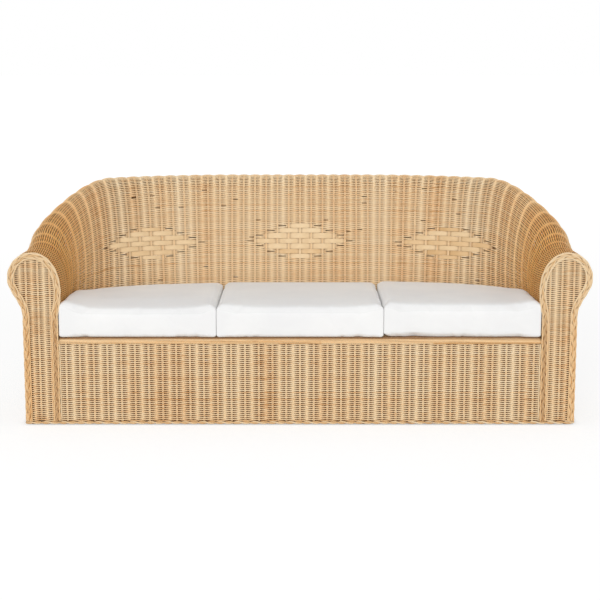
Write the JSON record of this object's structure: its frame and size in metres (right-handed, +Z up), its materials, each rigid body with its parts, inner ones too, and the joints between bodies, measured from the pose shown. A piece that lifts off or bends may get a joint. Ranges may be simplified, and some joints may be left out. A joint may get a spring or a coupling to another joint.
{
  "type": "rattan garden sofa",
  "caption": "Woven rattan sofa with rolled arms and back flowing into one line, a closed woven base, and loose zipped seat cushions that lift out.",
  "frame": {"origin": "centre of the sofa's bounding box in plan, on the floor under the glides", "axes": "+Z up, the front faces -Y, +X to the right of a person looking at the front, along the sofa's length"},
  "size_m": [2.052, 0.742, 0.834],
  "materials": {
    "rattan_weave": "satin",
    "rattan_border": "satin",
    "rattan_pole": "satin",
    "glide_nylon": "matte",
    "cushion_cotton": "matte",
    "cushion_foam": "matte",
    "zip_tape": "matte",
    "zip_metal": "satin"
  },
  "bodies": {
    "frame": {"inner_weave": "rattan_weave", "outer_weave": "rattan_weave", "front_panel_weave": "rattan_weave", "seat_deck": "rattan_weave", "left_arm_panel": "rattan_weave", "right_arm_panel": "rattan_weave", "front_rail_wrap": "rattan_border", "foot_border": "rattan_border", "left_arm_border": "rattan_border", "right_arm_border": "rattan_border", "front_foot_rail": "rattan_pole", "left_foot_rail": "rattan_pole", "right_foot_rail": "rattan_pole", "left_bent_foot_rail": "rattan_pole", "right_bent_foot_rail": "rattan_pole", "back_foot_rail": "rattan_pole", "left_arm_hoop": "rattan_pole", "right_arm_hoop": "rattan_pole", "top_rail": "rattan_pole", "roll_rail": "rattan_pole", "front_seat_rail": "rattan_pole", "seat_rail_hoop": "rattan_pole", "left_arm_post": "rattan_pole", "right_arm_post": "rattan_pole", "left_corner_post": "rattan_pole", "right_corner_post": "rattan_pole", "left_back_post": "rattan_pole", "right_back_post": "rattan_pole", "left_floor_stretcher": "rattan_pole", "right_floor_stretcher": "rattan_pole", "left_front_leg": "rattan_pole", "right_front_leg": "rattan_pole", "left_back_leg": "rattan_pole", "right_back_leg": "rattan_pole", "seat_bearer_1": "rattan_pole", "seat_bearer_2": "rattan_pole", "seat_bearer_3": "rattan_pole", "seat_bearer_4": "rattan_pole", "seat_bearer_5": "rattan_pole", "seat_bearer_6": "rattan_pole", "left_outer_front_glide": "glide_nylon", "left_inner_front_glide": "glide_nylon", "left_corner_glide": "glide_nylon", "left_back_glide": "glide_nylon", "right_outer_front_glide": "glide_nylon", "right_inner_front_glide": "glide_nylon", "right_corner_glide": "glide_nylon", "right_back_glide": "glide_nylon"},
    "cushion_left": {"left_cushion_cover": "cushion_cotton", "left_cushion_core": "cushion_foam", "left_cushion_zip": "zip_tape"},
    "cushion_centre": {"centre_cushion_cover": "cushion_cotton", "centre_cushion_core": "cushion_foam", "centre_cushion_zip": "zip_tape"},
    "cushion_right": {"right_cushion_cover": "cushion_cotton", "right_cushion_core": "cushion_foam", "right_cushion_zip": "zip_tape"},
    "slider_left": {"left_zip_slider": "zip_metal"},
    "slider_centre": {"centre_zip_slider": "zip_metal"},
    "slider_right": {"right_zip_slider": "zip_metal"}
  },
  "joints": [
    {"name": "cushion_left_lift", "type": "slide", "parent": "frame", "child": "cushion_left", "axis": [0, 0, 1], "range_m": [0, 0.32]},
    {"name": "cushion_centre_lift", "type": "slide", "parent": "frame", "child": "cushion_centre", "axis": [0, 0, 1], "range_m": [0, 0.32]},
    {"name": "cushion_right_lift", "type": "slide", "parent": "frame", "child": "cushion_right", "axis": [0, 0, 1], "range_m": [0, 0.32]},
    {"name": "zip_left_open", "type": "slide", "parent": "cushion_left", "child": "slider_left", "axis": [-0.9863, -0.1651, 0], "range_m": [0, 0.2]},
    {"name": "zip_centre_open", "type": "slide", "parent": "cushion_centre", "child": "slider_centre", "axis": [-1, 0, 0], "range_m": [0, 0.2]},
    {"name": "zip_right_open", "type": "slide", "parent": "cushion_right", "child": "slider_right", "axis": [-0.9863, 0.1651, 0], "range_m": [0, 0.2]}
  ]
}
